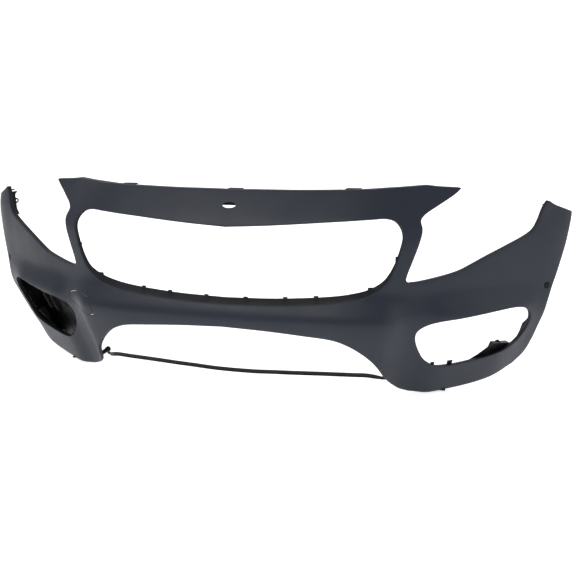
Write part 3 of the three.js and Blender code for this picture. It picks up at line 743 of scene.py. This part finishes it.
def crossbar():
    build = Build()
    half = smooth_curve(CROSSBAR_TOP)
    line = np.array([*mirrored(half)[:-1], *half])
    rows = []
    for s, z in line:
        high = CROSSBAR["high"] - 3 * float(smooth_step((abs(s) - 400) / 40))
        section = rounded_section(CROSSBAR["near"], CROSSBAR["far"], high)
        rows.append(place(s, [z - drop for drop, _ in section], [d for _, d in section]))
    build.grid(rows)
    for row in (rows[0], rows[-1]):
        build.add(row, [tuple(range(len(section)))])
    for s, z in sides_of([RIVET_PLACE]):
        share = skin_axes(s, z)[4]
        under, top = CROSSBAR["foot"] * share, (CROSSBAR["foot"] + 8) * share + 1
        turned(build, s, z, [(4.2, under), (7.5, under), (8, under + 0.5), (8, top - 0.5),
                             (7.5, top), (4.2, top), (4.2, under)])
    obj = build.to_object("lower_crossbar_moulding", ("black_plastic",), "bumper")
    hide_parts("lower_crossbar")


def sensors():
    for word, side in (("left", 1), ("right", -1)):
        build = Build()
        face, body = SENSOR["face"], SENSOR["body"]
        s, z = side * SENSOR["s"], SENSOR["z"]
        turned(build, s, z, [
            (0, 0.5), (face - 2.6, 0.6), (face - 1.2, 0.8), (face - 0.3, 1.3), (face, 2),
            (face, 15.5), (body - 0.6, 15.5), (body, 16.1), (body, 29.4), (body - 0.6, 30),
            (0, 30)], 40)
        centre, across, up, inward, _ = skin_axes(s, z - 14)
        block = Build()
        straight_block(block, (0, 0, 0), (14, 12, 10), 0.8, 0)
        turn = np.stack([across, up, inward], axis=1)
        local = (np.array(block.points) / MM - SHIFT) @ turn.T
        build.add((local + centre + inward * 23) * MM, block.faces)
        obj = build.to_object(f"parking_sensor_{word}_moulding", ("sensor_plastic",), "bumper")
        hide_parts(f"parking_sensor_{word}")


def finish_kept_nodes():
    """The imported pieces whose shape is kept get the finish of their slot."""
    slots = {part["node"]: part["material_slot"] for part in frame["record"]["subparts"]}
    for name, obj in frame["nodes"].items():
        finish = FINISH[slots[name]]
        for i in range(len(obj.material_slots)):
            obj.material_slots[i].material = finish


# ------------------------------------------------------------------ studio
def backdrop(floor_z):
    """Floor that sweeps up into a back wall."""
    profile = [(-4.5, 0), (-2.0, 0), (0.6, 0), (1.4, 0)]
    profile += [(1.4 + 1.2 * math.sin(t), 1.2 - 1.2 * math.cos(t))
                for t in np.linspace(0.1, math.pi / 2, 14)]
    profile += [(2.6, 4.0)]
    rows = [[(x, y, floor_z + z) for y, z in profile] for x in (-5.0, -2.5, 0.0, 2.5, 5.0)]
    build = Build()
    build.grid(rows, wrap_columns=False)
    mesh = bpy.data.meshes.new("studio_sweep")
    mesh.from_pydata(build.points, [], build.faces)
    for polygon in mesh.polygons:
        polygon.use_smooth = True
    obj = bpy.data.objects.new("studio_sweep", mesh)
    bpy.context.scene.collection.objects.link(obj)
    obj.data.materials.append(studio_white())


def soft_light(name, at, target, size, power):
    light = bpy.data.lights.new(name, "AREA")
    light.shape = "RECTANGLE"
    light.size, light.size_y = size
    light.energy = power
    obj = bpy.data.objects.new(name, light)
    obj.location = at
    obj.rotation_euler = (Vector(target) - Vector(at)).to_track_quat("-Z", "Y").to_euler()
    bpy.context.scene.collection.objects.link(obj)


def studio():
    low = Vector(CAD_BOX[0])
    backdrop(low.z - 0.002)
    world = bpy.data.worlds.new("studio")
    world.use_nodes = True
    background = world.node_tree.nodes["Background"]
    background.inputs[0].default_value = (1, 1, 1, 1)
    background.inputs[1].default_value = 0.45
    bpy.context.scene.world = world
    soft_light("key", (-0.8, -1.6, 2.4), (0, 0, -0.2), (2.4, 1.4), 40)
    soft_light("fill_right", (3.0, -0.6, 0.9), (0.5, 0, -0.3), (1.4, 2.0), 13)
    soft_light("fill_left", (-3.0, -0.6, 0.7), (-0.5, 0, -0.3), (1.4, 2.0), 2)
    bpy.context.scene.view_settings.view_transform = "Standard"
    bpy.context.scene.view_settings.look = "None"


def camera():
    """The viewing angle, set in the skin's own millimetres and then shifted."""
    azimuth, elevation, tilt = (math.radians(CAMERA[k]) for k in ("azimuth", "elevation", "tilt"))
    forward = Vector((-math.sin(azimuth) * math.cos(elevation),
                      math.cos(azimuth) * math.cos(elevation), -math.sin(elevation)))
    level = Vector((math.cos(azimuth), math.sin(azimuth), 0))
    upright = level.cross(forward)
    right = level * math.cos(tilt) + upright * math.sin(tilt)
    up = upright * math.cos(tilt) - level * math.sin(tilt)
    data = bpy.data.cameras.new("camera")
    data.sensor_width = 36
    data.lens = CAMERA["lens"]
    data.clip_end = 50
    obj = bpy.data.objects.new("camera", data)
    turn = Matrix((right, up, -forward)).transposed().to_4x4()
    at = (Vector(CAMERA["at"]) + Vector(SHIFT)) * MM
    obj.matrix_world = Matrix.Translation(at) @ turn
    bpy.context.scene.collection.objects.link(obj)
    bpy.context.scene.camera = obj


bumper_skin()
tow_eye_cover()
crossbar()
sensors()
finish_kept_nodes()
studio()
camera()
